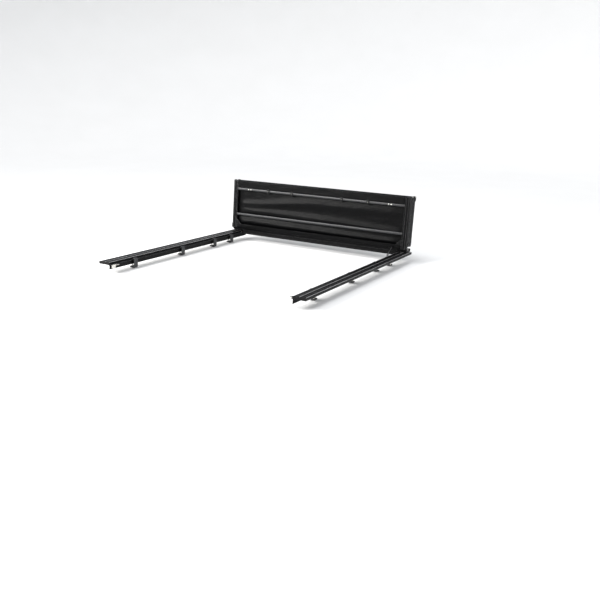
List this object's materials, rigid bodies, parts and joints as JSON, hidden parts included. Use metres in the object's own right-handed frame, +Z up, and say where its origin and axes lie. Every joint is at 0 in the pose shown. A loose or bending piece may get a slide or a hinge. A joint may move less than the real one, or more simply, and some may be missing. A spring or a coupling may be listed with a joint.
{
  "type": "tonneau cover",
  "caption": "Soft folding tonneau cover with a clamp-on bed frame, shown folded up in an accordion stack that stands at the cab end.",
  "frame": {"origin": "centre of the header's flat seat, on the plane of the truck's bed rails", "axes": "+X across the bed to the right, +Y forward to the cab, +Z up"},
  "size_m": [1.794, 1.8634, 0.5633],
  "materials": {
    "vinyl": "semi-gloss black coated vinyl, fine leather-like grain",
    "rubber": "matte black EPDM rubber",
    "black_plastic": "black moulded nylon",
    "lever_plastic": "black glass-filled nylon",
    "zinc_steel": "bright zinc plate",
    "black_steel": "black powder coat",
    "clamp_aluminium": "cast aluminium, dark coated",
    "rail_aluminium": "black powder-coated extrusion, light on its ridges",
    "bow_aluminium": "grey-black satin bar",
    "frame_aluminium": "black powder-coated extrusion"
  },
  "bodies": {
    "bed_frame": {"clamp_bolts": "zinc_steel", "corner_brackets": "zinc_steel", "header_bar": "frame_aluminium", "header_hinge_pins": "zinc_steel", "header_hinge_plates": "black_steel", "header_seal": "rubber", "left_rail_clamps": "clamp_aluminium", "left_rail_seal": "rubber", "left_side_rail": "rail_aluminium", "left_striker_plate": "zinc_steel", "prop_rod_bracket": "zinc_steel", "rail_end_caps": "black_plastic", "rail_screws": "zinc_steel", "right_rail_clamps": "clamp_aluminium", "right_rail_seal": "rubber", "right_side_rail": "rail_aluminium", "right_striker_plate": "zinc_steel"},
    "panel_1": {"bow_bolts": "zinc_steel", "bow_clips": "black_plastic", "fold_12_pins": "zinc_steel", "panel_1_end_bows": "frame_aluminium", "panel_1_gussets": "black_steel", "panel_1_hinge_plates": "black_steel", "panel_1_left_frame": "frame_aluminium", "panel_1_lower_bow": "bow_aluminium", "panel_1_right_frame": "frame_aluminium", "panel_1_skin": "vinyl", "panel_1_upper_bow": "bow_aluminium"},
    "panel_2": {"panel_2_end_bows": "frame_aluminium", "panel_2_gussets": "black_steel", "panel_2_hinge_plates": "black_steel", "panel_2_left_frame": "frame_aluminium", "panel_2_mid_bows": "bow_aluminium", "panel_2_right_frame": "frame_aluminium", "panel_2_skin": "vinyl"},
    "fold_link": {"fold_link_pins": "zinc_steel", "fold_link_plates": "black_steel", "fold_link_strip": "black_plastic"},
    "panel_3": {"fold_34_pins": "zinc_steel", "panel_3_end_bows": "frame_aluminium", "panel_3_gussets": "black_steel", "panel_3_hinge_plates": "black_steel", "panel_3_left_frame": "frame_aluminium", "panel_3_mid_bows": "bow_aluminium", "panel_3_right_frame": "frame_aluminium", "panel_3_skin": "vinyl"},
    "panel_4": {"latch_posts": "zinc_steel", "panel_4_front_bow": "frame_aluminium", "panel_4_gussets": "black_steel", "panel_4_hinge_plates": "black_steel", "panel_4_left_frame": "frame_aluminium", "panel_4_mid_bows": "bow_aluminium", "panel_4_right_frame": "frame_aluminium", "panel_4_skin": "vinyl", "panel_4_tail_bow": "frame_aluminium", "tail_seal": "rubber"},
    "left_latch": {"left_latch_lever": "lever_plastic"},
    "right_latch": {"right_latch_lever": "lever_plastic"},
    "prop_rod": {"prop_rod": "zinc_steel"}
  },
  "joints": [
    {"name": "stand", "type": "hinge", "parent": "bed_frame", "child": "panel_1", "pos_m": [0, -0.025, 0.05], "axis": [1, 0, 0], "range_deg": [0, 94]},
    {"name": "fold_12", "type": "hinge", "parent": "panel_1", "child": "panel_2", "pos_m": [0, 0.00555, 0.48693], "axis": [1, 0, 0], "range_deg": [0, 180]},
    {"name": "fold_2_link", "type": "hinge", "parent": "panel_2", "child": "fold_link", "pos_m": [0, -0.02155, 0.07783], "axis": [1, 0, 0], "range_deg": [-90, 0]},
    {"name": "fold_link_3", "type": "hinge", "parent": "fold_link", "child": "panel_3", "pos_m": [0, 0.03431, 0.07392], "axis": [1, 0, 0], "range_deg": [-90, 0]},
    {"name": "fold_34", "type": "hinge", "parent": "panel_3", "child": "panel_4", "pos_m": [0, 0.06441, 0.48282], "axis": [1, 0, 0], "range_deg": [0, 180]},
    {"name": "left_latch_turn", "type": "hinge", "parent": "panel_4", "child": "left_latch", "pos_m": [-0.74, 0.06527, 0.10083], "axis": [0, -0.9976, 0.0698], "range_deg": [0, 90]},
    {"name": "right_latch_turn", "type": "hinge", "parent": "panel_4", "child": "right_latch", "pos_m": [0.74, 0.06527, 0.10083], "axis": [0, 0.9976, -0.0698], "range_deg": [0, 90]},
    {"name": "prop_swing", "type": "hinge", "parent": "bed_frame", "child": "prop_rod", "pos_m": [0.758, -0.15, 0.01], "axis": [1, 0, 0], "range_deg": [0, 148.05]}
  ],
  "couplings": [
    {"joint": "fold_2_link", "follows": "fold_12", "ratio": -0.5},
    {"joint": "fold_link_3", "follows": "fold_12", "ratio": -0.5},
    {"joint": "fold_34", "follows": "fold_12", "ratio": 1},
    {"joint": "prop_swing", "follows": "stand", "ratio": 1.575}
  ]
}
